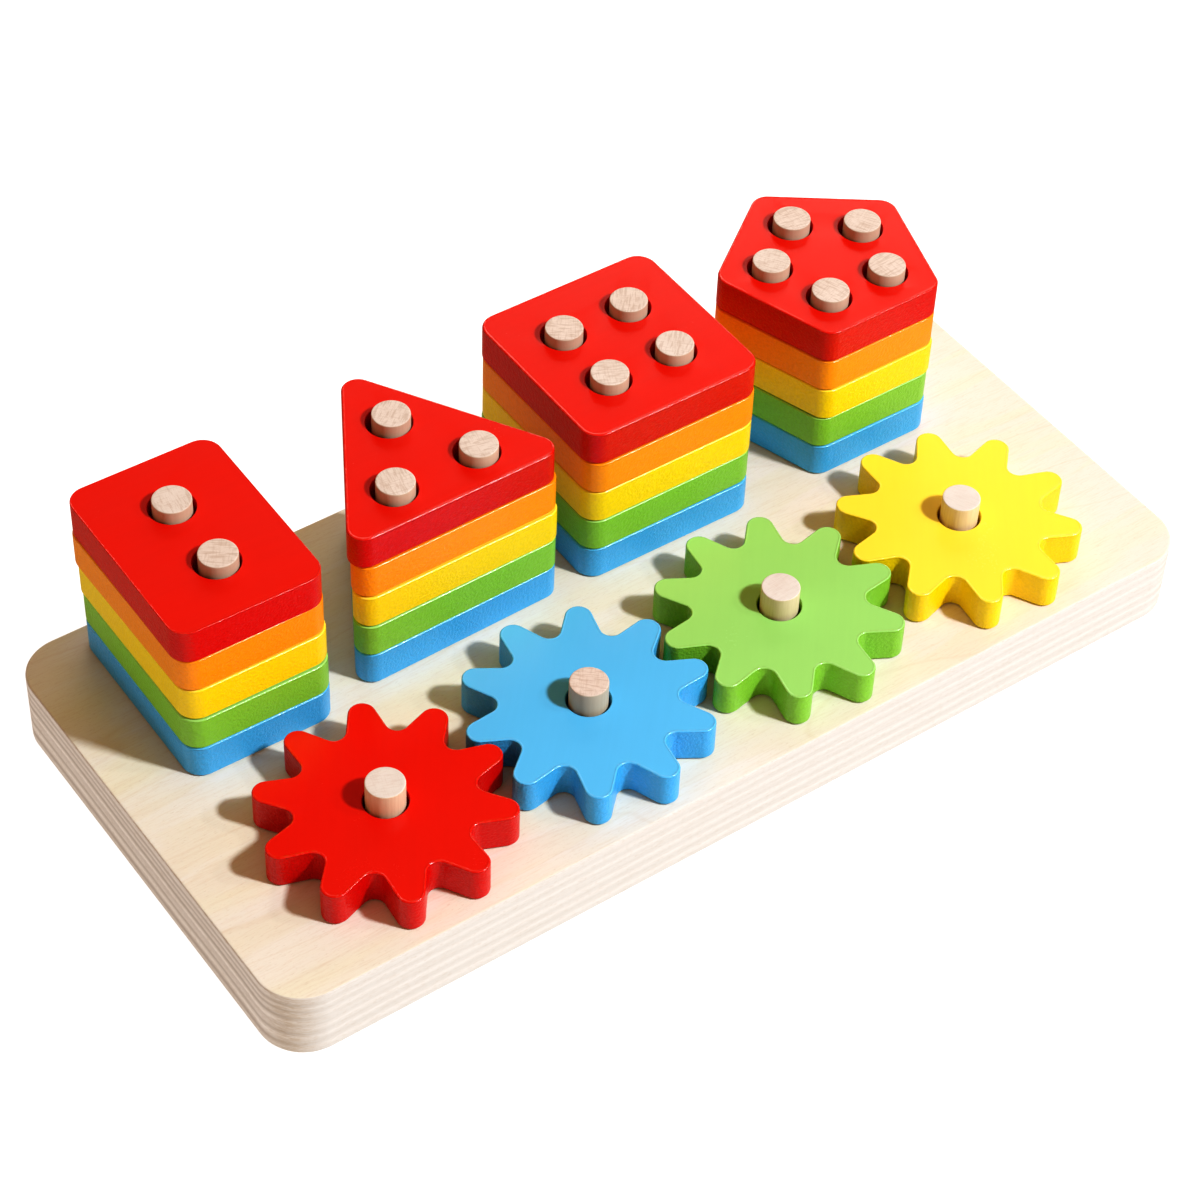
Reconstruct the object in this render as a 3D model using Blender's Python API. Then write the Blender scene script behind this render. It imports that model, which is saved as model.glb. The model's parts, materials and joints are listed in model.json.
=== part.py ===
"""Wooden gear puzzle board.

A plywood board carries two rows. The front row is four ten-tooth gears that mesh in a line, each
loose on a dowel peg. The back row is four stacks of five painted blocks, each stack threaded on its
own ring of pegs: a rectangle on two, a triangle on three, a square on four, a pentagon on five.

Metres, +Z up. X runs along the row of gears, Y from the gears towards the stacks. The origin is the
middle of the board's underside.
"""
import math

import bmesh
import bpy
from mathutils import Matrix, Vector

# Board
BOARD_THICKNESS = 0.0208
BOARD_CORNER_RADIUS = 0.0125
BOARD_EDGE_ROUNDING = 0.0005
LEFT_MARGIN = 0.0175
RIGHT_MARGIN = 0.0201
FRONT_MARGIN = 0.0025
BACK_MARGIN = 0.0042

# Dowel pegs and the blind seats that hold them
PEG_RADIUS = 0.0050
PEG_CHAMFER = 0.0003
PEG_SEAT_DEPTH = 0.0120
PEG_SEAT_CLEARANCE = 0.0003
GEAR_PEG_PROUD = 0.0065
STACK_PEG_PROUD = 0.0032

# What lies on the board, or on another block, rests this far clear of it
REST_GAP = 0.0003

# Gears
GEAR_COUNT = 4
GEAR_TEETH = 10
GEAR_TIP_RADIUS = 0.0323
GEAR_TOOTH_DEPTH = 0.0096
GEAR_THICKNESS = 0.0100
GEAR_MESH_CLEARANCE = 0.0043
GEAR_BORE_CLEARANCE = 0.0007
GEAR_RIM_ROUNDING = 0.0005
TOOTH_TIP_SHARE = 0.205
TOOTH_ROOT_SHARE = 0.170
FIRST_GEAR_TURN = math.radians(33.2)
GEAR_LEAN_SHARES = (0.09, -0.09, 0.09)

# Blocks
BLOCK_THICKNESS = 0.0098
BLOCK_BORE_CLEARANCE = 0.0010
BLOCK_RIM_ROUNDING = 0.0005
RECTANGLE_WIDTH = 0.0412
RECTANGLE_DEPTH = 0.0575
RECTANGLE_CORNER_RADIUS = 0.0053
RECTANGLE_PEG_RING = 0.0110
TRIANGLE_WIDTH = 0.0664
TRIANGLE_DEPTH = 0.0552
TRIANGLE_CORNER_RADIUS = 0.0043
TRIANGLE_PEG_RING = 0.0141
SQUARE_WIDTH = 0.0535
SQUARE_CORNER_RADIUS = 0.0053
SQUARE_PEG_RING = 0.0144
PENTAGON_RADIUS = 0.0314
PENTAGON_CORNER_RADIUS = 0.0048
PENTAGON_PEG_RING = 0.0160

# Bare board between neighbouring stacks, and from the gear row to each stack
RECTANGLE_TO_TRIANGLE = 0.0104
TRIANGLE_TO_SQUARE = 0.0082
SQUARE_TO_PENTAGON = 0.0103
GEARS_TO_RECTANGLE = 0.0055
GEARS_TO_TRIANGLE = 0.0096
GEARS_TO_SQUARE = 0.0083
GEARS_TO_PENTAGON = 0.0072

# How each loose block has settled on its pegs, bottom to top: along X, along Y, and turned. Each is a
# share of the play in its bores, and together they stay under one.
RECTANGLE_SETTLING = ((0.60, -0.10, -0.12), (0.55, -0.10, -0.15), (0.48, 0.38, -0.06),
                      (0.08, 0.70, 0.00), (0.00, 0.56, -0.17))
TRIANGLE_SETTLING = ((0.45, -0.10, 0.30), (0.40, -0.25, 0.22), (0.60, -0.20, 0.12),
                     (0.45, 0.35, 0.20), (-0.15, 0.60, 0.12))
SQUARE_SETTLING = ((0.42, 0.50, -0.12), (0.35, 0.60, 0.04), (0.50, 0.55, -0.05),
                   (0.50, 0.50, 0.05), (0.30, 0.68, -0.05))
PENTAGON_SETTLING = ((0.60, 0.36, -0.05), (0.40, 0.50, -0.09), (0.58, 0.27, 0.10),
                     (0.28, 0.62, 0.07), (0.24, 0.64, 0.05))

BLOCK_COLOURS = ("blue", "green", "yellow", "orange", "red")
GEAR_COLOURS = ("red", "blue", "green", "yellow")

# Facets of round shapes
ARC_STEP = math.radians(22.5)
ROUND_SIDES = 16
BOARD_ARC_STEP = math.radians(11.25)
TOOTH_TIP_STEPS = 6
TOOTH_ROOT_STEPS = 4
SMOOTH_ANGLE = math.radians(40)
BOARD_EDGE_FACETS = 2
RIM_FACETS = 1

# How far a cutter runs past the face that it opens
CUT_PAST = 0.002

FINISHES = {
    "red": ((0.80, 0.012, 0.006), 0.35),
    "orange": ((0.95, 0.240, 0.008), 0.35),
    "yellow": ((0.95, 0.720, 0.012), 0.35),
    "green": ((0.230, 0.520, 0.045), 0.35),
    "blue": ((0.060, 0.330, 0.680), 0.35),
    "birch_plywood": ((0.780, 0.620, 0.430), 0.55),
    "beech_dowel": ((0.680, 0.480, 0.330), 0.60),
}


def clear_scene():
    for existing in list(bpy.data.objects):
        bpy.data.objects.remove(existing, do_unlink=True)


def make_finish(name):
    colour, roughness = FINISHES[name]
    finish = bpy.data.materials.new(name)
    finish.use_nodes = True
    shader = finish.node_tree.nodes["Principled BSDF"]
    shader.inputs["Base Color"].default_value = (*colour, 1.0)
    shader.inputs["Roughness"].default_value = roughness
    shader.inputs["Metallic"].default_value = 0.0
    finish.diffuse_color = (*colour, 1.0)
    return finish


def ring_points(count, radius, first_angle):
    """Points evenly round a circle, counter-clockwise."""
    angles = [first_angle + 2 * math.pi * index / count for index in range(count)]
    return [Vector((radius * math.cos(angle), radius * math.sin(angle))) for angle in angles]


def arc_points(centre, radius, start, turn, steps):
    angles = [start + turn * index / steps for index in range(steps + 1)]
    return [centre + Vector((radius * math.cos(angle), radius * math.sin(angle))) for angle in angles]


def rounded_outline(corners, radius, step=ARC_STEP):
    """A counter-clockwise convex outline with every corner rounded to one radius."""
    outline = []
    for index, corner in enumerate(corners):
        arriving = (corner - corners[index - 1]).normalized()
        leaving = (corners[(index + 1) % len(corners)] - corner).normalized()
        turn = arriving.angle(leaving)
        inward = (leaving - arriving).normalized()
        centre = corner + inward * radius / math.cos(turn / 2)
        steps = math.ceil(turn / step - 0.01)
        outline += arc_points(centre, radius, math.atan2(-arriving.x, arriving.y), turn, steps)
    return outline


def rectangle_corners(width, depth):
    quadrants = ((-1, -1), (1, -1), (1, 1), (-1, 1))
    return [Vector((side * width / 2, end * depth / 2)) for side, end in quadrants]


def triangle_corners(width, depth):
    """An isosceles triangle about its centroid, base towards the gears."""
    return [Vector((-width / 2, -depth / 3)), Vector((width / 2, -depth / 3)), Vector((0, 2 * depth / 3))]


def gear_root_radius():
    return GEAR_TIP_RADIUS - GEAR_TOOTH_DEPTH


def gear_pitch():
    """Distance between neighbouring gear pegs: a tooth tip stays clear of the valley it enters."""
    return GEAR_TIP_RADIUS + gear_root_radius() + GEAR_MESH_CLEARANCE


def gear_outline():
    """Round-tipped teeth: a tip arc and a valley arc joined by their common tangent."""
    half_tooth = math.pi / GEAR_TEETH
    tooth_arc = 2 * half_tooth * (GEAR_TIP_RADIUS + gear_root_radius()) / 2
    tip = TOOTH_TIP_SHARE * tooth_arc
    root = TOOTH_ROOT_SHARE * tooth_arc
    tip_centre = Vector((GEAR_TIP_RADIUS - tip, 0))
    valley = gear_root_radius() + root
    root_centre = Vector((valley * math.cos(half_tooth), valley * math.sin(half_tooth)))
    across = root_centre - tip_centre
    tangent = math.atan2(across.y, across.x) - math.acos((tip + root) / across.length)
    tooth = arc_points(tip_centre, tip, -tangent, 2 * tangent, TOOTH_TIP_STEPS)
    valley_turn = 2 * (half_tooth - tangent)
    tooth += arc_points(root_centre, root, tangent + math.pi, valley_turn, TOOTH_ROOT_STEPS)
    outline = []
    for index in range(GEAR_TEETH):
        turned = Matrix.Rotation(2 * half_tooth * index, 2)
        outline += [turned @ point for point in tooth]
    return outline


def prism(outline, bottom, top, rounding, facets):
    """A flat-topped solid over an outline, its two rims rounded."""
    shape = bmesh.new()
    base = shape.faces.new([shape.verts.new((point.x, point.y, bottom)) for point in outline])
    raised = bmesh.ops.extrude_face_region(shape, geom=[base])["geom"]
    raised = [item for item in raised if isinstance(item, bmesh.types.BMVert)]
    bmesh.ops.translate(shape, vec=(0, 0, top - bottom), verts=raised)
    bmesh.ops.recalc_face_normals(shape, faces=shape.faces[:])
    middle = (bottom + top) / 2
    rims = [edge for edge in shape.edges
            if (edge.verts[0].co.z > middle) == (edge.verts[1].co.z > middle)]
    bmesh.ops.bevel(shape, geom=rims, offset=rounding, segments=facets, profile=0.5,
                    affect="EDGES", clamp_overlap=True, material=-1)
    return shape


def cylinders(centres, radius, bottom, top):
    """Upright cylinders in one mesh, used for seats and bores."""
    shape = bmesh.new()
    for centre in centres:
        place = Matrix.Translation((centre.x, centre.y, (bottom + top) / 2))
        bmesh.ops.create_cone(shape, cap_ends=True, segments=ROUND_SIDES, radius1=radius, radius2=radius,
                              depth=top - bottom, matrix=place)
    return shape


def add_object(name, shape, finish=None):
    mesh = bpy.data.meshes.new(name)
    shape.to_mesh(mesh)
    shape.free()
    mesh.shade_smooth()
    mesh.set_sharp_from_angle(angle=SMOOTH_ANGLE)
    piece = bpy.data.objects.new(name, mesh)
    bpy.context.collection.objects.link(piece)
    if finish is not None:
        mesh.materials.append(finish)
    return piece


def add_cutter(name, shape):
    cutter = add_object(name, shape)
    cutter.hide_render = True
    cutter.display_type = "WIRE"
    return cutter


def cut(piece, cutter):
    boolean = piece.modifiers.new(cutter.name, "BOOLEAN")
    boolean.operation = "DIFFERENCE"
    boolean.solver = "EXACT"
    boolean.object = cutter


class Stack:
    """One shape of block: its outline, its ring of pegs and where it stands."""

    def __init__(self, name, corners, radius, peg_ring, peg_count, first_peg, gap_before, gap_in_front,
                 settling):
        self.name = name
        self.outline = rounded_outline(corners, radius)
        self.peg_ring = peg_ring
        self.pegs = ring_points(peg_count, peg_ring, first_peg)
        self.gap_before = gap_before
        self.gap_in_front = gap_in_front
        self.settling = settling
        self.left = min(point.x for point in self.outline)
        self.right = max(point.x for point in self.outline)
        self.front = min(point.y for point in self.outline)
        self.back = max(point.y for point in self.outline)
        self.place = Vector((0, 0))


def stacks():
    upright = math.pi / 2
    return [
        Stack("rectangle", rectangle_corners(RECTANGLE_WIDTH, RECTANGLE_DEPTH), RECTANGLE_CORNER_RADIUS,
              RECTANGLE_PEG_RING, 2, upright, 0.0, GEARS_TO_RECTANGLE, RECTANGLE_SETTLING),
        Stack("triangle", triangle_corners(TRIANGLE_WIDTH, TRIANGLE_DEPTH), TRIANGLE_CORNER_RADIUS,
              TRIANGLE_PEG_RING, 3, upright, RECTANGLE_TO_TRIANGLE, GEARS_TO_TRIANGLE, TRIANGLE_SETTLING),
        Stack("square", rectangle_corners(SQUARE_WIDTH, SQUARE_WIDTH), SQUARE_CORNER_RADIUS,
              SQUARE_PEG_RING, 4, upright / 2, TRIANGLE_TO_SQUARE, GEARS_TO_SQUARE, SQUARE_SETTLING),
        Stack("pentagon", ring_points(5, PENTAGON_RADIUS, upright), PENTAGON_CORNER_RADIUS,
              PENTAGON_PEG_RING, 5, upright, SQUARE_TO_PENTAGON, GEARS_TO_PENTAGON, PENTAGON_SETTLING),
    ]


def lay_out(row):
    """Place both rows and size the board round them."""
    stack_span = sum(stack.gap_before + stack.right - stack.left for stack in row)
    gear_span = (GEAR_COUNT - 1) * gear_pitch() + 2 * GEAR_TIP_RADIUS
    length = LEFT_MARGIN + max(stack_span, gear_span) + RIGHT_MARGIN
    stack_depth = max(stack.gap_in_front + stack.back - stack.front for stack in row)
    width = FRONT_MARGIN + 2 * GEAR_TIP_RADIUS + stack_depth + BACK_MARGIN
    middle = (LEFT_MARGIN - RIGHT_MARGIN) / 2
    gear_line = FRONT_MARGIN + GEAR_TIP_RADIUS - width / 2
    reach = middle - stack_span / 2
    for stack in row:
        reach += stack.gap_before
        front_line = gear_line + GEAR_TIP_RADIUS + stack.gap_in_front
        stack.place = Vector((reach - stack.left, front_line - stack.front))
        reach += stack.right - stack.left
    first = middle - (GEAR_COUNT - 1) * gear_pitch() / 2
    gear_places = [Vector((first + index * gear_pitch(), gear_line)) for index in range(GEAR_COUNT)]
    return length, width, gear_places


def add_board(length, width, peg_places, finish):
    outline = rounded_outline(rectangle_corners(length, width), BOARD_CORNER_RADIUS, BOARD_ARC_STEP)
    board = add_object("base_board", prism(outline, 0.0, BOARD_THICKNESS, BOARD_EDGE_ROUNDING,
                                           BOARD_EDGE_FACETS), finish)
    seats = cylinders(peg_places, PEG_RADIUS + PEG_SEAT_CLEARANCE, BOARD_THICKNESS - PEG_SEAT_DEPTH,
                      BOARD_THICKNESS + CUT_PAST)
    cut(board, add_cutter("peg_seats", seats))


def add_peg(name, place, height, finish):
    """A dowel standing in its seat, its exposed end chamfered."""
    foot = BOARD_THICKNESS - PEG_SEAT_DEPTH + REST_GAP
    peg = cylinders([Vector((0, 0))], PEG_RADIUS, foot, height)
    top_edges = [edge for edge in peg.edges if all(vert.co.z > (foot + height) / 2 for vert in edge.verts)]
    bmesh.ops.bevel(peg, geom=top_edges, offset=PEG_CHAMFER, segments=RIM_FACETS, profile=0.5,
                    affect="EDGES", clamp_overlap=True, material=-1)
    piece = add_object(name, peg, finish)
    piece.location = (place.x, place.y, 0)


def gear_turns():
    """Each gear leans a little in the play between its teeth and the last gear's."""
    tooth_angle = 2 * math.pi / GEAR_TEETH
    turns = [FIRST_GEAR_TURN]
    for lean in GEAR_LEAN_SHARES:
        turns.append(math.pi + tooth_angle / 2 + lean * tooth_angle - turns[-1])
    return turns


def add_gears(places, finishes):
    bottom = BOARD_THICKNESS + REST_GAP
    top = bottom + GEAR_THICKNESS
    for index, (colour, place, turn) in enumerate(zip(GEAR_COLOURS, places, gear_turns())):
        shape = prism(gear_outline(), bottom, top, GEAR_RIM_ROUNDING, RIM_FACETS)
        gear = add_object(f"gear_{colour}", shape, finishes[colour])
        hole = cylinders([Vector((0, 0))], PEG_RADIUS + GEAR_BORE_CLEARANCE, bottom - CUT_PAST,
                         top + CUT_PAST)
        bore = add_cutter(f"gear_bore_{colour}", hole)
        for piece in (gear, bore):
            piece.location = (place.x, place.y, 0)
        gear.rotation_euler.z = turn
        cut(gear, bore)
        add_peg(f"peg_gear_{index + 1}", place, top + GEAR_PEG_PROUD, finishes["beech_dowel"])


def add_stack(stack, finishes):
    layer = BLOCK_THICKNESS + REST_GAP
    stack_top = BOARD_THICKNESS + len(BLOCK_COLOURS) * layer
    for index, peg in enumerate(stack.pegs):
        add_peg(f"peg_{stack.name}_{index + 1}", stack.place + peg, stack_top + STACK_PEG_PROUD,
                finishes["beech_dowel"])
    for index, (colour, (along, across, turn)) in enumerate(zip(BLOCK_COLOURS, stack.settling)):
        bottom = BOARD_THICKNESS + REST_GAP + index * layer
        top = bottom + BLOCK_THICKNESS
        shape = prism(stack.outline, bottom, top, BLOCK_RIM_ROUNDING, RIM_FACETS)
        block = add_object(f"{stack.name}_{colour}", shape, finishes[colour])
        bores = add_cutter(f"{stack.name}_{colour}_bores",
                           cylinders(stack.pegs, PEG_RADIUS + BLOCK_BORE_CLEARANCE,
                                     bottom - CUT_PAST, top + CUT_PAST))
        for piece in (block, bores):
            piece.location = (stack.place.x + along * BLOCK_BORE_CLEARANCE,
                              stack.place.y + across * BLOCK_BORE_CLEARANCE, 0)
            piece.rotation_euler.z = turn * BLOCK_BORE_CLEARANCE / stack.peg_ring
        cut(block, bores)


def build():
    clear_scene()
    finishes = {name: make_finish(name) for name in FINISHES}
    row = stacks()
    length, width, gear_places = lay_out(row)
    stack_peg_places = [stack.place + peg for stack in row for peg in stack.pegs]
    add_board(length, width, gear_places + stack_peg_places, finishes["birch_plywood"])
    add_gears(gear_places, finishes)
    for stack in row:
        add_stack(stack, finishes)


build()
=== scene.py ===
import json
import math
import random

import bmesh
import bpy
from mathutils import Matrix, Vector


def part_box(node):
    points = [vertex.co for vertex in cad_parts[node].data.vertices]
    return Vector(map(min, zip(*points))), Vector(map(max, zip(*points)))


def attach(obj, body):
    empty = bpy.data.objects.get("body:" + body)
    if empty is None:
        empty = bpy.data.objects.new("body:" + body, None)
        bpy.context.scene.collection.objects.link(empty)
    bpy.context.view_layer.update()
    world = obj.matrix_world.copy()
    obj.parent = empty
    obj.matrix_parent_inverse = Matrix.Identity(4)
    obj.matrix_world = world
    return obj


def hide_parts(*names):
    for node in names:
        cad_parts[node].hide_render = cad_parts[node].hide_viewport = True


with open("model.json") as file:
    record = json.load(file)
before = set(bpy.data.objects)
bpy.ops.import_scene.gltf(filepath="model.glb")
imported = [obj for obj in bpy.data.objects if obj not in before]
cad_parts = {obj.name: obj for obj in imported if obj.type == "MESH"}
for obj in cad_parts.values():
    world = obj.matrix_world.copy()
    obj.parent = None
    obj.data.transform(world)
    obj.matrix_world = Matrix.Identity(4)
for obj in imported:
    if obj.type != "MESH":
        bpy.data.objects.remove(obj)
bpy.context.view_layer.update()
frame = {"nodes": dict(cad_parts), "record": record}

MM = 0.001

# Shared sizes, in millimetres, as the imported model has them
BOARD_LENGTH = 280.1
BOARD_WIDTH = 134.3
BOARD_TOP = 20.8
BOARD_CORNER = 12.5
PEG_RADIUS = 5.0
GEAR_TEETH = 10
GEAR_TIP = 32.3
GEAR_ROOT = 22.7
GEAR_TIP_ROUND = 3.542
GEAR_ROOT_ROUND = 2.937
GEAR_HOLE = 5.7
BLOCK_HOLE = 6.0
BLOCK_PLAY = 1.0
PENTAGON_RADIUS = 31.4


def pentagon_corners():
    bearings = [math.radians(90 + 72 * side) for side in range(5)]
    return [(PENTAGON_RADIUS * math.cos(bearing), PENTAGON_RADIUS * math.sin(bearing))
            for bearing in bearings]


# Each stack's middle, its pegs, the first one's bearing in degrees and their ring, its corners and their
# rounding, and how its blocks settled, blue to red: along, back and turned, as shares of the play
STACKS = {
    "rectangle": dict(middle=(-101.36, 34.2), pegs=2, first_peg=90, ring=11.0, round=5.3,
                      corners=((-20.6, -28.75), (20.6, -28.75), (20.6, 28.75), (-20.6, 28.75)),
                      settled=((0.60, -0.10, -0.12), (0.55, -0.10, -0.15), (0.48, 0.38, -0.06),
                               (0.08, 0.70, 0.00), (0.00, 0.56, -0.17))),
    "triangle": dict(middle=(-40.52, 27.95), pegs=3, first_peg=90, ring=14.1, round=4.3,
                     corners=((-33.2, -18.4), (33.2, -18.4), (0.0, 36.8)),
                     settled=((0.45, -0.10, 0.30), (0.40, -0.25, 0.22), (0.60, -0.20, 0.12),
                              (0.45, 0.35, 0.20), (-0.15, 0.60, 0.12))),
    "square": dict(middle=(24.269, 35.0), pegs=4, first_peg=45, ring=14.4, round=5.3,
                   corners=((-26.75, -26.75), (26.75, -26.75), (26.75, 26.75), (-26.75, 26.75)),
                   settled=((0.42, 0.50, -0.12), (0.35, 0.60, 0.04), (0.50, 0.55, -0.05),
                            (0.50, 0.50, 0.05), (0.30, 0.68, -0.05))),
    "pentagon": dict(middle=(90.339, 32.553), pegs=5, first_peg=90, ring=16.0, round=4.8,
                     corners=pentagon_corners(),
                     settled=((0.60, 0.36, -0.05), (0.40, 0.50, -0.09), (0.58, 0.27, 0.10),
                              (0.28, 0.62, 0.07), (0.24, 0.64, 0.05))),
}
BLOCK_COLOURS = ("blue", "green", "yellow", "orange", "red")
# How far each gear stands turned at rest, in degrees
GEAR_TURNS = {"red": 33.2, "blue": 24.04, "green": 26.72, "yellow": 30.52}

# Rounded edges, in millimetres. One block's edges are sharper than the others'.
BOARD_RIM = 0.5
GEAR_RIM = 0.45
BLOCK_RIM = 0.5
CRISP_BLOCK = "rectangle_red"
CRISP_RIM = 0.25
PEG_RIM = 0.3
GEAR_HOLE_RIM = 0.25
BLOCK_HOLE_RIM = 0.2
# A narrow band inside each rounded edge: a share of its radius on slabs, and its width on pegs
RIM_BAND = 0.6
PEG_BAND = 0.4

# How finely round shapes are drawn, and how near two points are to be one
CORNER_STEP = math.radians(9)
BOARD_CORNER_STEP = math.radians(5)
TOOTH_STEP = math.radians(12)
ROUND_SIDES = 48
RIM_STEPS = 4
HOLE_RIM_STEPS = 3
SAME_POINT = 0.0005
SAME_OUTLINE_POINT = 0.002

# Shading: large faces keep theirs flat, and faces whose areas are this near count alike
LARGE_FACES_RULE = 100
SAME_AREA = 0.01

# Where each piece's grain is taken from, how its paint varies, and how the dowels' stain and painted shade
# vary: painted shade greys the pegs' sides towards their tops, most on the stack pegs in the blocks' holes
GRAIN_DRIFT = 400
GEAR_GRAIN_TURN = 0.4
PEG_FOOT_STAIN_AND_SHADE = 0.15
STACK_PEG_STAIN_AND_SHADE = (0.75, 1.0)
GEAR_PEG_STAIN_AND_SHADE = {"peg_gear_1": 0.20, "peg_gear_2": 0.85, "peg_gear_3": 0.12, "peg_gear_4": 0.0}


# Modelling


def arc(radius, turn):
    return ("arc", radius, turn)


def straight(length):
    return ("straight", length, 0.0)


def trace(shape, start, heading, moves, step):
    """Follow an outline as a router would, with straights and arcs, and close it into a face."""
    tip = shape.verts.new((*start, 0.0))
    for kind, size, turn in moves:
        if kind == "straight":
            reach = Vector((math.cos(heading), math.sin(heading), 0.0)) * size
            made = bmesh.ops.extrude_vert_indiv(shape, verts=[tip])["verts"]
            bmesh.ops.translate(shape, vec=reach, verts=made)
            tip = made[0]
            continue
        side = math.copysign(math.pi / 2, turn)
        centre = tip.co + Vector((math.cos(heading + side), math.sin(heading + side), 0.0)) * size
        steps = max(2, math.ceil(abs(turn) / step))
        swept = bmesh.ops.spin(shape, geom=[tip], cent=centre, axis=(0, 0, 1), angle=turn, steps=steps,
                               use_duplicate=False)["geom_last"]
        tip = next(item for item in swept if isinstance(item, bmesh.types.BMVert))
        heading += turn
    bmesh.ops.remove_doubles(shape, verts=shape.verts[:], dist=SAME_OUTLINE_POINT)
    return bmesh.ops.contextual_create(shape, geom=shape.edges[:])["faces"][0]


def polygon(shape, corners, radius, step=CORNER_STEP):
    """A convex outline with rounded corners."""
    corners = [Vector(corner) for corner in corners]
    moves = []
    for index, corner in enumerate(corners):
        ahead = corners[(index + 1) % len(corners)]
        beyond = corners[(index + 2) % len(corners)]
        turn = (ahead - corner).angle(beyond - ahead)
        behind = (corner - corners[index - 1]).angle(ahead - corner)
        length = (ahead - corner).length - radius * (math.tan(turn / 2) + math.tan(behind / 2))
        moves += [straight(length), arc(radius, turn)]
    along = corners[1] - corners[0]
    first_turn = (corners[0] - corners[-1]).angle(along)
    start = corners[0] + along.normalized() * radius * math.tan(first_turn / 2)
    return trace(shape, start, math.atan2(along.y, along.x), moves, step)


def gear_face(shape):
    """Ten round-tipped teeth: tip arcs and valley arcs joined by straight flanks."""
    half_tooth = math.pi / GEAR_TEETH
    tip_centre = Vector((GEAR_TIP - GEAR_TIP_ROUND, 0.0))
    valley = GEAR_ROOT + GEAR_ROOT_ROUND
    across = Vector((valley * math.cos(half_tooth), valley * math.sin(half_tooth))) - tip_centre
    rounds = GEAR_TIP_ROUND + GEAR_ROOT_ROUND
    lean = math.atan2(across.y, across.x) - math.acos(rounds / across.length)
    flank = math.sqrt(across.length_squared - rounds ** 2)
    tooth = [arc(GEAR_TIP_ROUND, 2 * lean), straight(flank),
             arc(GEAR_ROOT_ROUND, 2 * (half_tooth - lean)), straight(flank)]
    start = tip_centre + Vector((math.cos(lean), -math.sin(lean))) * GEAR_TIP_ROUND
    return trace(shape, start, math.pi / 2 - lean, tooth * GEAR_TEETH, TOOTH_STEP)


def quarter(steps):
    """The insets and rises, as shares of a radius, that round an edge over."""
    angles = [math.pi / 2 * index / steps for index in range(steps + 1)]
    return [(math.cos(low) - math.cos(high), math.sin(high) - math.sin(low))
            for low, high in zip(angles, angles[1:])]


def cut_hole(shape, ring, middle, radius, rim, depth):
    """Carry a ring of edges over a rounded rim and down the hole's wall."""
    reach = radius + rim
    about = Matrix.Translation((*middle, 0)).inverted()
    steps = [(rise * rim, inset * rim) for inset, rise in reversed(quarter(HOLE_RIM_STEPS))]
    for narrow, drop in steps + [(0.0, depth - rim)]:
        walls = bmesh.ops.extrude_edge_only(shape, edges=ring)["geom"]
        ring = [item for item in walls if isinstance(item, bmesh.types.BMEdge)
                and all(vert in walls for vert in item.verts)]
        lower = list(dict.fromkeys(vert for edge in ring for vert in edge.verts))
        share = (reach - narrow) / reach
        reach -= narrow
        bmesh.ops.scale(shape, vec=(share, share, 1), space=about, verts=lower)
        bmesh.ops.translate(shape, vec=(0, 0, -drop), verts=lower)


def slab(draw, thickness, rim, holes=(), hole_radius=0.0, hole_rim=0.0):
    """A board cut to an outline, with rounded edges and round holes, its mid-plane at Z = 0."""
    shape = bmesh.new()
    worn = shape.verts.layers.float.new("rim")
    face = draw(shape)
    if face.normal.z < 0:
        bmesh.ops.reverse_faces(shape, faces=[face])
    raised = bmesh.ops.extrude_face_region(shape, geom=[face])["geom"]
    bmesh.ops.delete(shape, geom=[face], context="FACES_ONLY")
    cap = next(item for item in raised if isinstance(item, bmesh.types.BMFace))
    bmesh.ops.translate(shape, vec=(0, 0, thickness / 2 - rim), verts=cap.verts[:])
    for inset, rise in quarter(RIM_STEPS):
        bmesh.ops.inset_individual(shape, faces=[cap], thickness=inset * rim, depth=rise * rim,
                                   use_even_offset=True)
        for vert in cap.verts:
            vert[worn] = 1.0
    bmesh.ops.inset_individual(shape, faces=[cap], thickness=rim * RIM_BAND, depth=0.0, use_even_offset=True)
    for vert in cap.verts:
        vert[worn] = 0.0
    if holes:
        edges = cap.edges[:]
        bmesh.ops.delete(shape, geom=[cap], context="FACES_ONLY")
        rings = []
        for middle in holes:
            circle = bmesh.ops.create_circle(shape, cap_ends=False, segments=ROUND_SIDES,
                                             radius=hole_radius + hole_rim,
                                             matrix=Matrix.Translation((*middle, thickness / 2)))["verts"]
            rings.append(list(dict.fromkeys(edge for vert in circle for edge in vert.link_edges)))
            edges += rings[-1]
        bmesh.ops.triangle_fill(shape, use_beauty=True, use_dissolve=False, edges=edges)
        for middle, ring in zip(holes, rings):
            cut_hole(shape, ring, middle, hole_radius, hole_rim, thickness / 2)
    bmesh.ops.mirror(shape, geom=shape.verts[:] + shape.edges[:] + shape.faces[:], merge_dist=SAME_POINT,
                     axis="Z")
    bmesh.ops.remove_doubles(shape, verts=shape.verts[:], dist=SAME_POINT)
    bmesh.ops.recalc_face_normals(shape, faces=shape.faces[:])
    return shape


def board_shape():
    """The board, which keeps each point's place for its plies."""
    half_length, half_width = BOARD_LENGTH / 2, BOARD_WIDTH / 2
    corners = ((-half_length, -half_width), (half_length, -half_width),
               (half_length, half_width), (-half_length, half_width))
    shape = slab(lambda drawn: polygon(drawn, corners, BOARD_CORNER, BOARD_CORNER_STEP), BOARD_TOP, BOARD_RIM)
    layer = shape.verts.layers.float_vector.new("layer")
    for vert in shape.verts:
        vert[layer] = vert.co + Vector((0, 0, BOARD_TOP / 2))
    return shape


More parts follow.
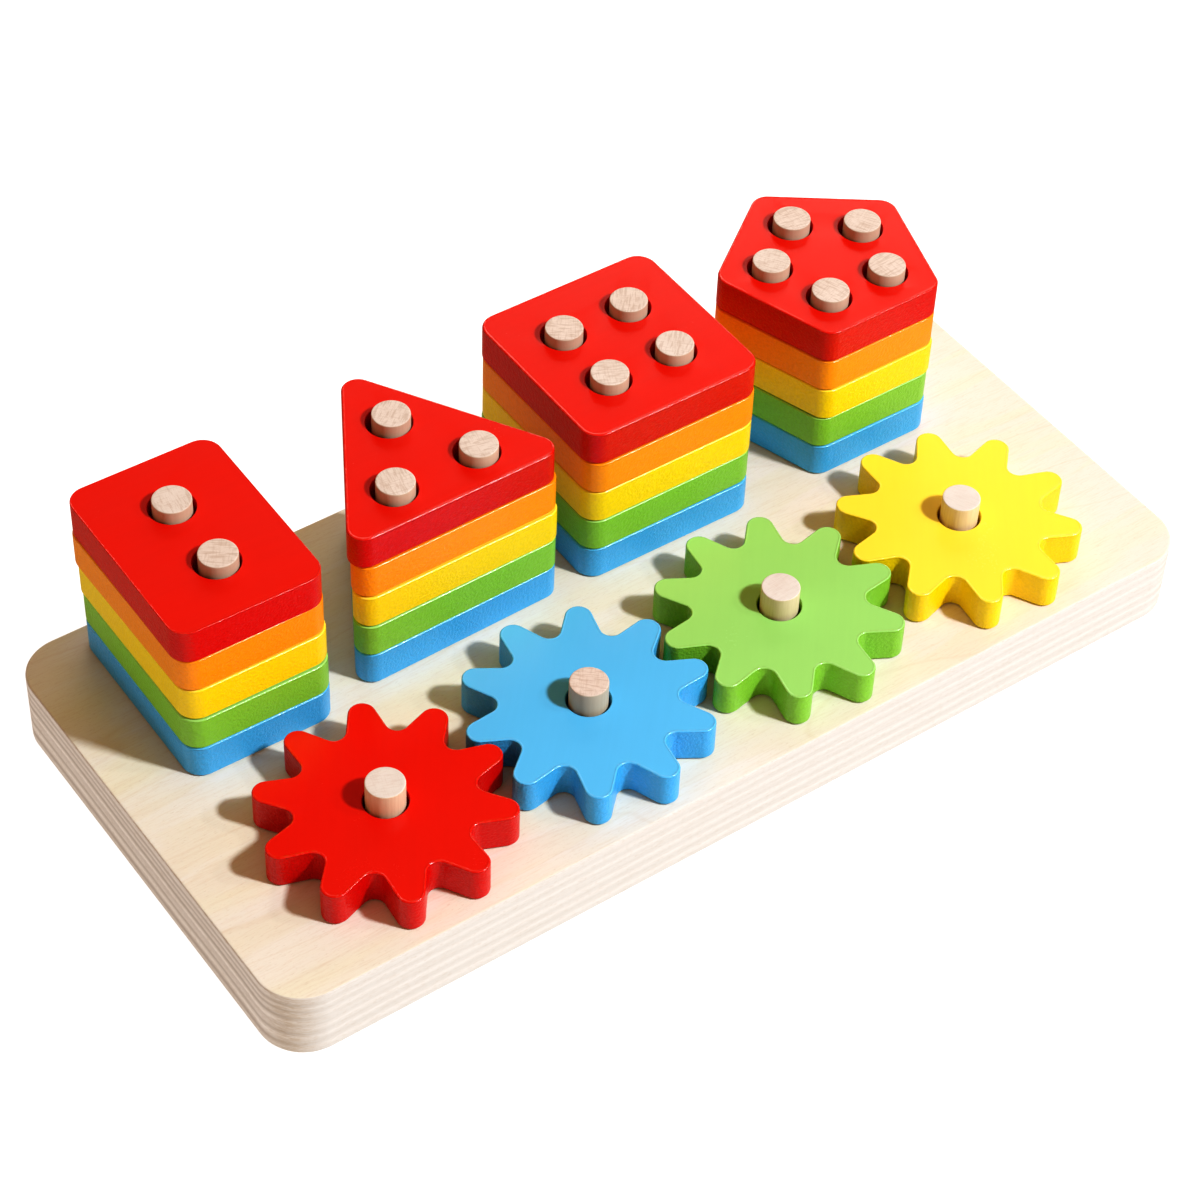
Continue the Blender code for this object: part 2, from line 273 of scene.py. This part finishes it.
def peg_shape(height, stain_and_shade):
    """A turned dowel, drawn as half its outline and spun."""
    shape = bmesh.new()
    shape.verts.layers.float.new("rim")
    stained_and_shaded = shape.verts.layers.float.new("stain_and_shade")
    profile = [(0.0, 0.0), (PEG_RADIUS, 0.0), (PEG_RADIUS, height - PEG_RIM)]
    reach, rise = profile[-1]
    for inset, lift in quarter(RIM_STEPS):
        reach -= inset * PEG_RIM
        rise += lift * PEG_RIM
        profile.append((reach, rise))
    profile += [(reach - PEG_BAND, height), (0.0, height)]
    path = [shape.verts.new((reach, 0.0, rise)) for reach, rise in profile]
    for low, high in zip(path, path[1:]):
        shape.edges.new((low, high))
    bmesh.ops.spin(shape, geom=shape.verts[:] + shape.edges[:], cent=(0, 0, 0), axis=(0, 0, 1),
                   angle=2 * math.pi, steps=ROUND_SIDES, use_merge=True, use_duplicate=False)
    bmesh.ops.remove_doubles(shape, verts=shape.verts[:], dist=SAME_POINT)
    bmesh.ops.recalc_face_normals(shape, faces=shape.faces[:])
    for vert in shape.verts:
        # Stain and painted shade: full in the upper half, fading to a share at the foot
        vert[stained_and_shaded] = stain_and_shade if vert.co.z > height / 2 else stain_and_shade * PEG_FOOT_STAIN_AND_SHADE
    return shape


def finish_piece(name, shape, place, turn, grain_turn, finish, body):
    """Keep each point's place on its own piece for the grain, then put the piece where it belongs."""
    chance = random.Random(name)
    drift = Vector([chance.uniform(-GRAIN_DRIFT, GRAIN_DRIFT) for _ in range(3)])
    grain = shape.verts.layers.float_vector.new("grain")
    along = Matrix.Rotation(-grain_turn, 3, "Z")
    for vert in shape.verts:
        vert[grain] = along @ vert.co + drift
    bmesh.ops.rotate(shape, cent=(0, 0, 0), matrix=Matrix.Rotation(turn, 3, "Z"), verts=shape.verts[:])
    bmesh.ops.translate(shape, vec=place, verts=shape.verts[:])
    bmesh.ops.scale(shape, vec=(MM, MM, MM), verts=shape.verts[:])
    mesh = bpy.data.meshes.new(name)
    shape.to_mesh(mesh)
    shape.free()
    mesh.shade_smooth()
    mesh.materials.append(finish)
    piece = bpy.data.objects.new(name, mesh)
    bpy.context.collection.objects.link(piece)
    even = piece.modifiers.new("flat faces stay flat", "WEIGHTED_NORMAL")
    even.weight = LARGE_FACES_RULE
    even.thresh = SAME_AREA
    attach(piece, body)
    return piece


def solid_span(node):
    """The low and high corner of a solid's box, in millimetres."""
    return [Vector(corner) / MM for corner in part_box(node)]


# Finishes

VENEER_PALE = (0.800, 0.755, 0.700)
VENEER_WARM = (0.790, 0.738, 0.560)
VENEER_ROSY = (0.80, 0.680, 0.610)
VENEER_BAND = (0.768, 0.690, 0.525)
VENEER_LINE = (0.62, 0.46, 0.30)
VENEER_PORE = (0.48, 0.34, 0.21)
# The veneer turns rosy from left to right, between these places, as painted shade that takes green and blue
# out where the lamps fall stronger on the right, and its figure is drawn in contour lines
VENEER_ROSY_SPAN = (-30.0, 115.0)
VENEER_CONTOURS = 9.0
# How pale the plies are at each height, on the long edges and on the short ones
FRONT_LAYUP = ((0.0, 0.4), (1.3, 0.25), (2.7, 1.0), (3.7, 0.25), (4.9, 0.1), (6.2, 1.0), (7.1, 0.3),
               (8.0, 0.1), (9.5, 1.0), (10.8, 0.1), (12.1, 0.5), (12.9, 0.2), (14.1, 1.0), (15.0, 0.3),
               (15.9, 0.1), (17.2, 0.9), (18.3, 0.15), (19.6, 0.6), (20.8, 0.4))
END_LAYUP = ((0.0, 0.6), (1.7, 0.8), (2.4, 0.4), (3.1, 0.1), (4.2, 0.6), (5.5, 1.0), (6.5, 0.6),
             (7.3, 0.15), (8.3, 0.65), (9.5, 0.6), (10.4, 0.5), (11.6, 1.0), (12.5, 0.5), (13.3, 0.0),
             (14.5, 0.7), (15.2, 0.6), (15.9, 0.15), (17.0, 0.8), (18.2, 0.1), (19.3, 0.7), (20.8, 0.6))
FRONT_PLY_LIGHT = (0.716, 0.681, 0.640)
FRONT_PLY_DARK = (0.620, 0.587, 0.541)
# The short edges' plies are paler than the long edges': their end-on look, and painted light making up for
# the weaker light on those edges
END_PLY_LIGHT = (0.950, 0.890, 0.830)
END_PLY_DARK = (0.510, 0.450, 0.395)
PLY_BROWN = (0.51, 0.41, 0.31)
PLY_ROUTED_AND_SHADED = (0.53, 0.41, 0.27)
DOWEL_SIDE = (0.79, 0.65, 0.45)
DOWEL_FIBRE = (0.67, 0.51, 0.33)
DOWEL_STAIN_AND_SHADE_GREY = (0.425, 0.345, 0.26)
DOWEL_PALE = (0.715, 0.685, 0.63)
DOWEL_DARK = (0.71, 0.60, 0.52)
DOWEL_STREAK = (0.45, 0.32, 0.235)
# Each paint on the flats, on the walls and worn thin on the rims, and its gloss. The walls' tone differs from
# the flats' as painted light and shade for the sides, not as a different paint.
PAINTS = {
    "red": ((0.725, 0.009, 0.0015), (0.645, 0.003, 0.001), (0.95, 0.16, 0.10), 0.32),
    "orange": ((0.92, 0.28, 0.004), (0.95, 0.308, 0.003), (1.0, 0.48, 0.12), 0.36),
    "yellow": ((0.94, 0.73, 0.058), (0.95, 0.685, 0.004), (1.0, 0.90, 0.30), 0.36),
    "green": ((0.342, 0.672, 0.177), (0.262, 0.60, 0.055), (0.52, 0.80, 0.25), 0.36),
    "blue": ((0.115, 0.505, 0.850), (0.070, 0.44, 0.84), (0.36, 0.66, 0.92), 0.36),
}
# How dark the mottle leaves the paint
FLAT_MOTTLE = 0.95
WALL_MOTTLE = 0.93
RIM_COAT_ROUGHNESS = 0.26
PLYWOOD_GLOSS = 0.3
DOWEL_GLOSS = 0.5

# Depths of relief, in millimetres
PAINT_GRAIN_DEPTH = 0.08
STIPPLE_DEPTH = 0.24
RIM_FLECK_DEPTH = 0.18
VENEER_DEPTH = 0.07
PLY_DEPTH = 0.1
DOWEL_DEPTH = 0.08


class Value:
    """A number on a socket, for arithmetic in plain Python."""

    def __init__(self, finish, socket):
        self.finish = finish
        self.socket = socket

    def math(self, operation, *others):
        return self.finish.node("ShaderNodeMath", {"operation": operation}, self, *others)

    def __add__(self, other):
        return self.math("ADD", other)

    def __sub__(self, other):
        return self.math("SUBTRACT", other)

    def __mul__(self, other):
        return self.math("MULTIPLY", other)

    def __truediv__(self, other):
        return self.math("DIVIDE", other)

    def __rsub__(self, other):
        return self.finish.node("ShaderNodeMath", {"operation": "SUBTRACT"}, other, self)

    __radd__ = __add__
    __rmul__ = __mul__

    def size(self):
        return self.math("ABSOLUTE")

    def between(self, low, high):
        """0 at low, 1 at high, eased."""
        return self.finish.node("ShaderNodeMapRange", {"interpolation_type": "SMOOTHSTEP"}, self, low, high)


class Finish:
    """One material and the nodes that make it up."""

    def __init__(self, name, gloss):
        self.material = bpy.data.materials.new(name)
        self.material.use_nodes = True
        self.nodes = self.material.node_tree.nodes
        self.shader = self.nodes["Principled BSDF"]
        self.shader.inputs["Specular IOR Level"].default_value = gloss

    def plug(self, value, socket):
        if isinstance(value, Value):
            self.material.node_tree.links.new(value.socket, socket)
        elif value is not None:
            socket.default_value = value

    def node(self, kind, settings, *values, **named):
        """A node with its settings, its first sockets in order and others by name."""
        made = self.nodes.new(kind)
        for key, setting in settings.items():
            setattr(made, key, setting)
        sockets = [socket for socket in made.inputs if socket.enabled]
        for socket, value in zip(sockets, values):
            self.plug(value, socket)
        for key, value in named.items():
            self.plug(value, made.inputs[key])
        return Value(self, next(socket for socket in made.outputs if socket.enabled))

    def set(self, name, value):
        self.plug(value, self.shader.inputs[name])

    def attribute(self, name, output="Vector"):
        made = self.nodes.new("ShaderNodeAttribute")
        made.attribute_name = name
        return Value(self, made.outputs[output])

    def noise(self, place, tight, detail=2.0, roughness=0.5, distortion=0.0, turn=0.0):
        """Noise with so many waves per millimetre, or so many along, across and through the grain."""
        if isinstance(tight, tuple):
            place = self.node("ShaderNodeMapping", {}, Vector=place, Scale=tight, Rotation=(0, 0, turn))
            tight = 1.0
        return self.node("ShaderNodeTexNoise", {}, Vector=place, Scale=tight, Detail=detail,
                         Roughness=roughness, Distortion=distortion)

    def mix(self, share, first, second):
        first, second = ((*tone, 1.0) if isinstance(tone, tuple) else tone for tone in (first, second))
        return self.node("ShaderNodeMix", {"data_type": "RGBA"}, share, first, second)

    def parts(self, place):
        made = self.nodes.new("ShaderNodeSeparateXYZ")
        self.plug(place, made.inputs[0])
        return [Value(self, socket) for socket in made.outputs]

    def facing(self):
        """The three parts of the face's outward direction."""
        made = self.nodes.new("ShaderNodeNewGeometry")
        return self.parts(Value(self, made.outputs["Normal"]))

    def tones(self, level, stops):
        """How pale a place is, by its height as a share of the board's."""
        made = self.nodes.new("ShaderNodeValToRGB")
        elements = made.color_ramp.elements
        while len(elements) < len(stops):
            elements.new(0.5)
        for element, (height, tone) in zip(elements, stops):
            element.position = height / BOARD_TOP
            element.color = (tone, tone, tone, 1.0)
        self.plug(level, made.inputs[0])
        return Value(self, made.outputs["Color"])

    def bump(self, height, strength, depth, below=None):
        return self.node("ShaderNodeBump", {}, Height=height, Strength=strength, Distance=depth * MM,
                         Normal=below)


def darker(tone, share):
    return tuple(channel * share for channel in tone)


def paint(name, flat, wall, thin, gloss):
    """Satin paint over plywood: level on the flats, fine stipple on the cut edges."""
    finish = Finish(name, gloss)
    place = finish.attribute("grain")
    rim = finish.attribute("rim", "Fac")
    walls = finish.facing()[2].size().between(0.85, 0.35)
    cloud = finish.noise(place, 0.045, detail=3.0)
    streak = finish.noise(place, (0.035, 0.55, 0.2), detail=4.0, roughness=0.6)
    stipple = finish.noise(place, 1.35, detail=3.0, roughness=0.6)
    pores = finish.noise(place, (0.35, 2.6, 1.2), roughness=0.6)
    fleck = finish.noise(place, 1.1)

    flat_mottle = cloud.between(0.30, 0.70) * 0.5 + streak.between(0.35, 0.65) * 0.25
    wall_mottle = stipple.between(0.40, 0.62)
    worn = rim.between(0.2, 0.9) * fleck.between(0.50, 0.64) * 0.10
    flat_tone = finish.mix(flat_mottle, flat, darker(flat, FLAT_MOTTLE))
    # Painted light and shade: the walls' own tone stands in for the light the sides get, under the real
    # stipple mottle.
    wall_painted_light_tone = finish.mix(wall_mottle, wall, darker(wall, WALL_MOTTLE))
    finish.set("Base Color", finish.mix(worn, finish.mix(walls, flat_tone, wall_painted_light_tone), thin))

    satin = 0.18 + 0.08 * cloud + walls * 0.08 + 0.06 * stipple
    rubbed = 1.0 - 0.30 * rim
    glints = 0.08 + 0.66 * fleck.between(0.46, 0.57)
    finish.set("Roughness", satin * rubbed)
    finish.set("Coat Weight", rim * glints)

    wood_grain = streak * 0.6 + pores * 0.4
    brush_marks = stipple * (0.04 + 0.96 * walls)
    relief = finish.bump(wood_grain, 0.10, PAINT_GRAIN_DEPTH)
    relief = finish.bump(brush_marks, 1.0, STIPPLE_DEPTH, relief)
    finish.set("Normal", finish.bump(fleck * rim, 0.90, RIM_FLECK_DEPTH, relief))
    finish.shader.inputs["Coat Roughness"].default_value = RIM_COAT_ROUGHNESS
    return finish.material


def plywood():
    """Sanded birch plywood: veneer on the flats, crossed plies on the edge."""
    finish = Finish("plywood", PLYWOOD_GLOSS)
    place = finish.attribute("grain")
    along, _, height = finish.parts(finish.attribute("layer"))
    east, _, rise = finish.facing()
    # The rounded top edge takes the plies' darker tone almost up to the flat: partly where the rounding cuts
    # through the veneer, partly painted shade over the line of light the lamp lays along that edge
    flats = rise.size().between(0.80, 0.985)

    cloud = finish.noise(place, (0.009, 0.040, 0.05), detail=3.0, roughness=0.55, distortion=0.8, turn=0.12)
    flame = finish.noise(place, (0.012, 0.085, 0.05), distortion=0.6, turn=0.20)
    figure = finish.noise(place, (0.0045, 0.022, 0.03), detail=1.5, roughness=0.45, distortion=0.5, turn=0.14)
    fibre = finish.noise(place, (0.16, 2.1, 1.7), detail=3.0, roughness=0.6, turn=0.05)
    pores = finish.noise(place, (0.70, 4.2, 2.8), roughness=0.6)
    warmth = cloud.between(0.36, 0.66) * 0.60 + 0.20 - along * 0.0004
    # Painted shade: less green and blue towards the right end, where the lamps fall stronger
    rosy_painted_shade = along.between(*VENEER_ROSY_SPAN) * 0.9
    bands = flame.between(0.44, 0.62) * 0.26 + flame.between(0.50, 0.53) * 0.20
    contours = (figure * VENEER_CONTOURS).math("PINGPONG", 0.5) * 2.0
    veneer = finish.mix(warmth, VENEER_PALE, VENEER_WARM)
    veneer = finish.mix(rosy_painted_shade, veneer, VENEER_ROSY)
    veneer = finish.mix(bands, veneer, VENEER_BAND)
    veneer = finish.mix(contours.between(0.93, 1.0) * 0.16, veneer, VENEER_LINE)
    veneer = finish.mix(fibre.between(0.45, 0.75) * 0.22, veneer, VENEER_LINE)
    veneer = finish.mix(pores.between(0.58, 0.74) * 0.28, veneer, VENEER_PORE)

    # The plies wander more on the short edges, and the left corners show the router's rough cut, browned
    # there only, on the side away from the lamp: partly the cut, partly painted shade
    short_edge = east * east
    wander = finish.noise(place, (0.012, 0.020, 0.0), detail=3.0)
    thread = finish.noise(place, (0.16, 0.16, 2.6), detail=3.0, roughness=0.6)
    dash = finish.noise(place, (0.9, 0.9, 4.2), roughness=0.6)
    crackle = finish.noise(place, (0.35, 0.35, 3.6), detail=3.0, roughness=0.65)
    level = (height + (wander - 0.5) * (1.0 + short_edge)) / BOARD_TOP
    front = finish.mix(finish.tones(level, FRONT_LAYUP), FRONT_PLY_DARK, FRONT_PLY_LIGHT)
    # Short edges: the plies' end-on tones, paler as painted light
    end = finish.mix(finish.tones(level, END_LAYUP), END_PLY_DARK, END_PLY_LIGHT)
    left_corners = short_edge * (1.0 - short_edge) * (2.0 - 2.0 * east)
    threads = thread.between(0.42, 0.72) * (0.14 + 0.14 * short_edge)
    dashes = dash.between(0.50, 0.74) * (0.32 + 0.22 * short_edge)
    # Painted shade, partly: the rough cut browns only the corners on the side away from the lamp
    rough_cut_and_shade = left_corners * (0.10 + 0.60 * crackle.between(0.40, 0.62))
    plies = finish.mix(short_edge, front, end)
    plies = finish.mix(threads, plies, PLY_BROWN)
    plies = finish.mix(dashes, plies, PLY_BROWN)
    plies = finish.mix(rough_cut_and_shade, plies, PLY_ROUTED_AND_SHADED)

    finish.set("Base Color", finish.mix(flats, plies, veneer))
    finish.set("Roughness", 0.46 + 0.12 * fibre + (1.0 - flats) * 0.14)
    relief = finish.bump(fibre * 0.6 + pores * 0.4, 0.14, VENEER_DEPTH)
    finish.set("Normal", finish.bump((thread + dash * 0.5) * (1.0 - flats), 0.22, PLY_DEPTH, relief))
    return finish.material


def dowel():
    """Bare dowel: fibres along the side, sawn end grain on top, paler or darker from peg to peg, with painted
    shade greying the side.
    """
    finish = Finish("dowel", DOWEL_GLOSS)
    place = finish.attribute("grain")
    stain_and_shade = finish.attribute("stain_and_shade", "Fac")
    ends = finish.facing()[2].size().between(0.5, 0.9)
    cloud = finish.noise(place, 0.16)
    fibre = finish.noise(place, (1.6, 1.6, 0.07), detail=3.0, roughness=0.6)
    rings = finish.noise(place, (2.2, 0.26, 0.2), detail=3.0, roughness=0.55, distortion=0.3)
    rays = finish.noise(place, (0.30, 2.6, 0.2), roughness=0.55)
    pores = finish.noise(place, 3.2, roughness=0.6)

    side = finish.mix(fibre.between(0.35, 0.68) * 0.6, DOWEL_SIDE, DOWEL_FIBRE)
    # Painted shade: the side greys with the stain-and-shade value, standing in for the shadow in and around
    # the holes
    side = finish.mix(stain_and_shade * 0.75, side, DOWEL_STAIN_AND_SHADE_GREY)
    sawn = finish.mix(stain_and_shade, DOWEL_PALE, DOWEL_DARK)
    for streak in (cloud.between(0.35, 0.65) * 0.12,
                   rings.between(0.46, 0.62) * (0.10 + 0.40 * stain_and_shade),
                   rays.between(0.50, 0.66) * (0.04 + 0.28 * stain_and_shade),
                   pores.between(0.56, 0.72) * (0.06 + 0.20 * stain_and_shade)):
        sawn = finish.mix(streak, sawn, DOWEL_STREAK)

    finish.set("Base Color", finish.mix(ends, side, sawn))
    finish.set("Roughness", 0.55 + 0.18 * pores)
    relief = finish.bump(fibre, 0.16, DOWEL_DEPTH)
    finish.set("Normal", finish.bump((pores + rings * 0.5) * ends, 0.16, DOWEL_DEPTH, relief))
    return finish.material


finishes = {colour: paint(f"paint_{colour}", *tones) for colour, tones in PAINTS.items()}
plywood_finish = plywood()
dowel_finish = dowel()


# The board, then the pegs, gears and blocks, each where its solid stands

board = finish_piece("board", board_shape(), (0, 0, BOARD_TOP / 2), 0.0, 0.0, plywood_finish, "board")
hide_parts("base_board")

for node in [name for name in frame["nodes"] if name.startswith("peg_")]:
    low, high = solid_span(node)
    middle = (low + high) / 2
    chance = random.Random(node)
    stain_and_shade = GEAR_PEG_STAIN_AND_SHADE.get(node, chance.uniform(*STACK_PEG_STAIN_AND_SHADE))
    peg = finish_piece(node.replace("peg_", "dowel_"), peg_shape(high.z - low.z, stain_and_shade),
                       (middle.x, middle.y, low.z), 0.0, chance.uniform(0, math.pi), dowel_finish, "board")
    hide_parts(node)

spin_axes = {joint["child"]: joint["pos_m"] for joint in frame["record"]["behaviour"]["joints"]
             if joint["type"] == "hinge"}
for colour, turn in GEAR_TURNS.items():
    node = f"gear_{colour}"
    low, high = solid_span(node)
    axis = Vector(spin_axes[f"{colour}_gear"]) / MM
    shape = slab(gear_face, high.z - low.z, GEAR_RIM, [(0, 0)], GEAR_HOLE, GEAR_HOLE_RIM)
    gear = finish_piece(f"{colour}_gear", shape, (axis.x, axis.y, (low.z + high.z) / 2), math.radians(turn),
                        GEAR_GRAIN_TURN, finishes[colour], f"{colour}_gear")
    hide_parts(node)

for stack, plan in STACKS.items():
    bearings = [math.radians(plan["first_peg"]) + 2 * math.pi * index / plan["pegs"]
                for index in range(plan["pegs"])]
    holes = [(plan["ring"] * math.cos(bearing), plan["ring"] * math.sin(bearing)) for bearing in bearings]
    for colour, (across, back, turn) in zip(BLOCK_COLOURS, plan["settled"]):
        node = f"{stack}_{colour}"
        low, high = solid_span(node)
        shape = slab(lambda drawn: polygon(drawn, plan["corners"], plan["round"]), high.z - low.z,
                     CRISP_RIM if node == CRISP_BLOCK else BLOCK_RIM, holes, BLOCK_HOLE, BLOCK_HOLE_RIM)
        place = (plan["middle"][0] + across * BLOCK_PLAY, plan["middle"][1] + back * BLOCK_PLAY,
                 (low.z + high.z) / 2)
        block = finish_piece(f"{colour}_{stack}", shape, place, turn * BLOCK_PLAY / plan["ring"], 0.0,
                             finishes[colour], f"{colour}_{stack}")
        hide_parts(node)


# Floor and light, in metres and watts

FLOOR_REACH = 4.0
BACKDROP_RADIUS = 7.0
STUDIO_ROUGHNESS = 0.9
LIGHT_AIM = (0.0, 0.0, 0.03)
LIGHTS = {
    "key": dict(place=(0.62, -1.00, 1.31), aim=LIGHT_AIM, size=(0.175, 0.175), power=22.2,
                colour=(0.93, 1.0, 1.08)),
    "key edge": dict(place=(0.66, -0.62, 0.80), aim=(0.03, 0.0, 0.03), size=(0.04, 0.04), power=1.0,
                     colour=(1.0, 1.0, 1.0)),
    "sweep behind": dict(place=(0.80, 0.96, 0.62), aim=LIGHT_AIM, size=(1.3, 0.6), power=4.2,
                         colour=(1.0, 0.93, 0.85)),
}
ROOM_TINT = (1.0, 0.68, 0.45, 1.0)
ROOM_STRENGTH = 0.30


def set_piece(name, shape, base, glow):
    """A white studio surface, which glows a little so that no shadow shows on it."""
    mesh = bpy.data.meshes.new(name)
    shape.to_mesh(mesh)
    shape.free()
    white = Finish(name, 0.0)
    white.shader.inputs["Roughness"].default_value = STUDIO_ROUGHNESS
    white.shader.inputs["Base Color"].default_value = (base, base, base, 1.0)
    white.shader.inputs["Emission Color"].default_value = (1.0, 1.0, 1.0, 1.0)
    white.shader.inputs["Emission Strength"].default_value = glow
    mesh.materials.append(white.material)
    piece = bpy.data.objects.new(name, mesh)
    bpy.context.collection.objects.link(piece)
    piece.visible_glossy = False
    return piece


def studio():
    """A floor, and a far backdrop that only the camera sees."""
    ground = bmesh.new()
    bmesh.ops.create_grid(ground, x_segments=1, y_segments=1, size=FLOOR_REACH)
    set_piece("floor", ground, base=0.35, glow=0.64)
    dome = bmesh.new()
    bmesh.ops.create_icosphere(dome, subdivisions=4, radius=BACKDROP_RADIUS)
    backdrop = set_piece("backdrop", dome, base=0.0, glow=1.0)
    backdrop.visible_diffuse = False
    backdrop.visible_shadow = False


def area_light(name, place, aim, size, power, colour):
    data = bpy.data.lights.new(name, "AREA")
    data.shape = "ELLIPSE"
    data.size, data.size_y = size
    data.energy = power
    data.color = colour
    lamp = bpy.data.objects.new(name, data)
    lamp.location = place
    lamp.rotation_euler = (Vector(aim) - Vector(place)).to_track_quat("-Z", "Y").to_euler()
    lamp.visible_camera = False
    bpy.context.collection.objects.link(lamp)


studio()
for name, light in LIGHTS.items():
    area_light(name, **light)

world = bpy.data.worlds.new("studio")
world.use_nodes = True
world.node_tree.nodes["Background"].inputs["Color"].default_value = ROOM_TINT
world.node_tree.nodes["Background"].inputs["Strength"].default_value = ROOM_STRENGTH
bpy.context.scene.world = world


# Camera, fitted to the photograph: angles in radians, distances as shares of the board's length

BOARD_SPAN = 0.28
FOCAL_PIXELS = 3276.4
FRAME_PIXELS = 1200
LENS_CENTRE = (598.03, 599.37)
AZIMUTH, ELEVATION, ROLL = -0.6432, 0.7988, 0.04395
DISTANCE = 3.133 * BOARD_SPAN
TARGET = Vector((0.032, 0.067, 0.0)) * BOARD_SPAN

back = Vector((math.sin(AZIMUTH) * math.cos(ELEVATION), -math.cos(AZIMUTH) * math.cos(ELEVATION),
               math.sin(ELEVATION)))
right = Vector((0, 0, 1)).cross(back).normalized()
up = back.cross(right)
tilted_right = math.cos(ROLL) * right + math.sin(ROLL) * up
tilted_up = math.cos(ROLL) * up - math.sin(ROLL) * right
lens = bpy.data.cameras.new("camera")
lens.sensor_width = 36.0
lens.lens = FOCAL_PIXELS / FRAME_PIXELS * lens.sensor_width
lens.shift_x = (FRAME_PIXELS / 2 - LENS_CENTRE[0]) / FRAME_PIXELS
lens.shift_y = (LENS_CENTRE[1] - FRAME_PIXELS / 2) / FRAME_PIXELS
lens.clip_start = 0.01
camera = bpy.data.objects.new("camera", lens)
camera.matrix_world = Matrix.Translation(TARGET + back * DISTANCE) @ Matrix(
    (tilted_right, tilted_up, back)).transposed().to_4x4()
bpy.context.collection.objects.link(camera)
bpy.context.scene.camera = camera
bpy.context.scene.view_settings.view_transform = "Standard"
bpy.context.scene.view_settings.look = "High Contrast"
